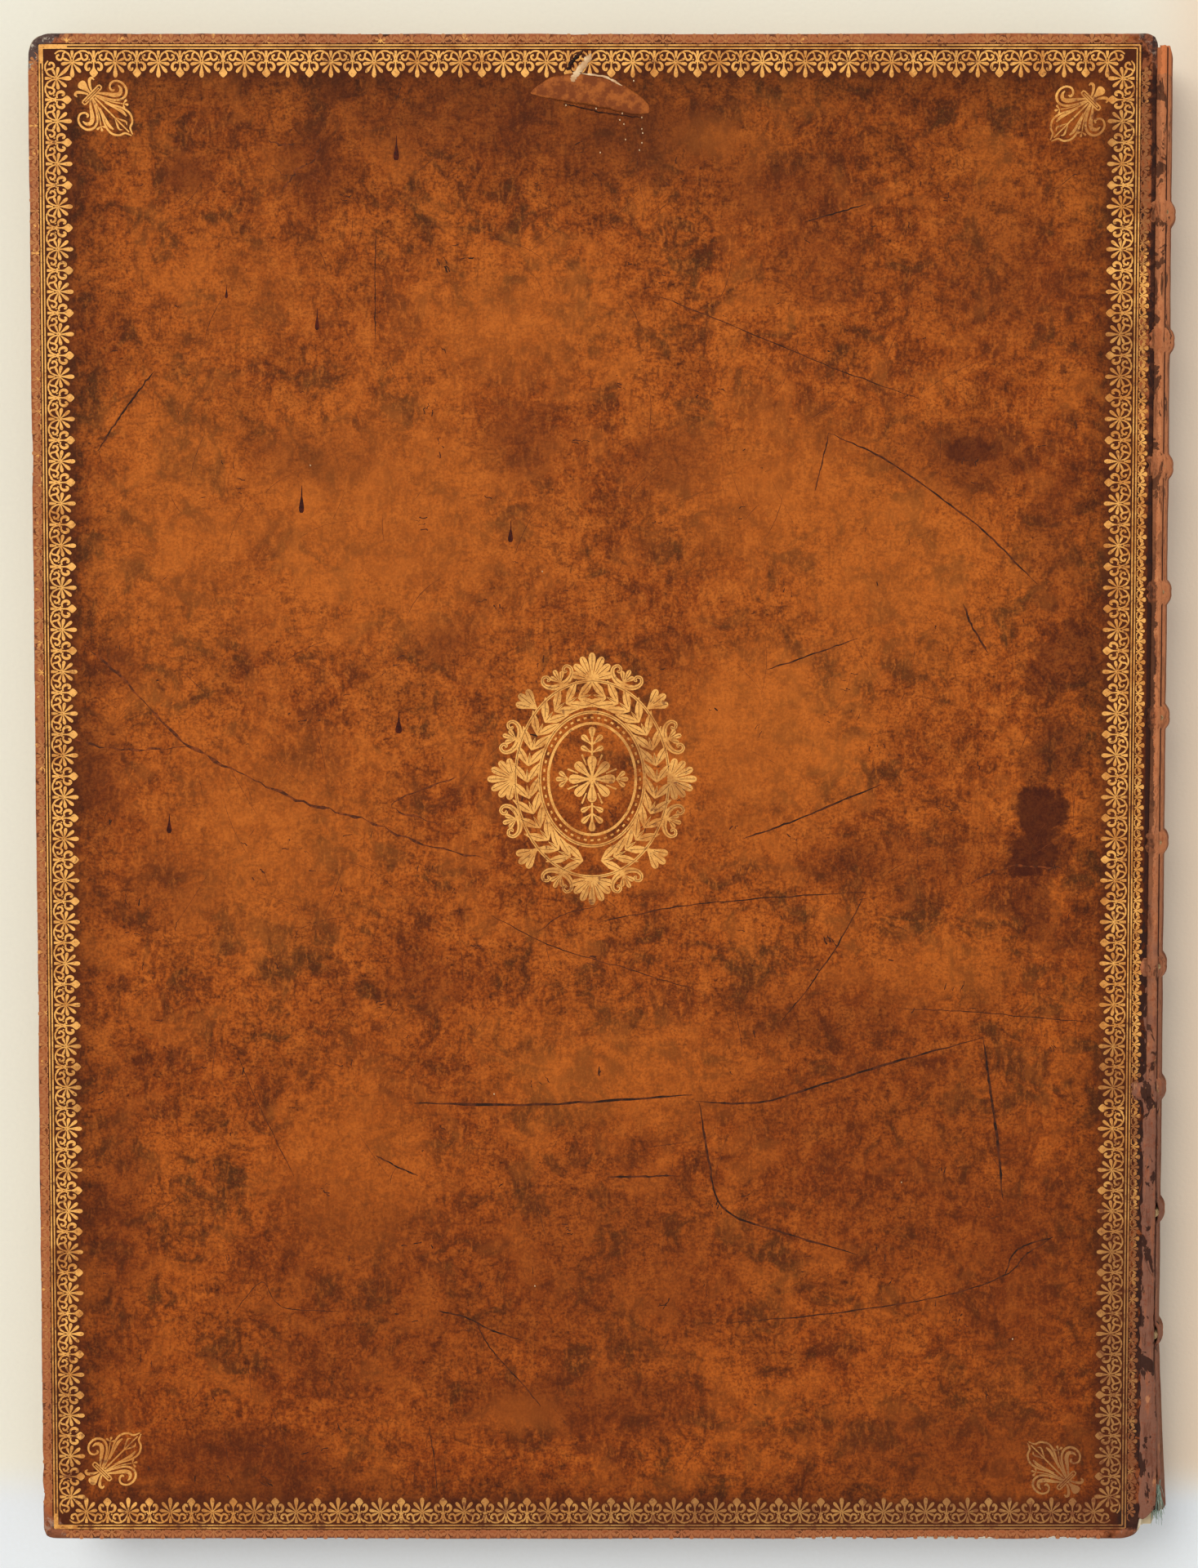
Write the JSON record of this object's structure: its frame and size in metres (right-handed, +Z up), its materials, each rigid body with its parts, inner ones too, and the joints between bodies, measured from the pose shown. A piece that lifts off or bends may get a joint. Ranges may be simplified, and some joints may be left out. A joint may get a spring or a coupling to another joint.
{
  "type": "antique leather book",
  "caption": "Large folio book in worn brown calf on raised bands, with gilt borders and a gilt centre ornament; both covers open on the joints beside its rounded spine.",
  "frame": {"origin": "middle of the book's footprint, on the surface that it lies on", "axes": "+Z up from the front cover to the back cover, +Y towards the head of the book, +X towards the spine"},
  "size_m": [0.4248, 0.56, 0.0354],
  "materials": {
    "leaves": "matte",
    "endpaper": "matte",
    "lining_paper": "matte",
    "spine_calf": "worn satin",
    "calf": "worn satin, mottled",
    "green_silk": "frayed",
    "pasteboard": "matte",
    "cord": "matte",
    "gold_leaf": "worn gilt"
  },
  "bodies": {
    "block": {"text_block": "leaves", "back_endleaf": "endpaper", "front_endleaf": "endpaper", "spine_lining": "lining_paper", "spine_leather": "spine_calf", "tail_silk": "green_silk", "sewing_cord_01": "cord", "sewing_cord_02": "cord", "sewing_cord_03": "cord", "sewing_cord_04": "cord", "sewing_cord_05": "cord", "sewing_cord_06": "cord", "sewing_cord_07": "cord", "sewing_cord_08": "cord", "sewing_cord_09": "cord", "sewing_cord_10": "cord"},
    "back_cover": {"back_board": "pasteboard", "back_leather": "calf", "back_pastedown": "endpaper", "back_lacing": "cord", "back_gilding": "gold_leaf"},
    "front_cover": {"front_board": "pasteboard", "front_leather": "calf", "front_pastedown": "endpaper", "front_lacing": "cord", "front_gilding": "gold_leaf"}
  },
  "joints": [
    {"name": "back_joint", "type": "hinge", "parent": "block", "child": "back_cover", "pos_m": [0.2032, 0, 0.0349], "axis": [0, 1, 0], "range_deg": [0, 180]},
    {"name": "front_joint", "type": "hinge", "parent": "block", "child": "front_cover", "pos_m": [0.2032, 0, 0.0005], "axis": [0, -1, 0], "range_deg": [0, 180]}
  ]
}
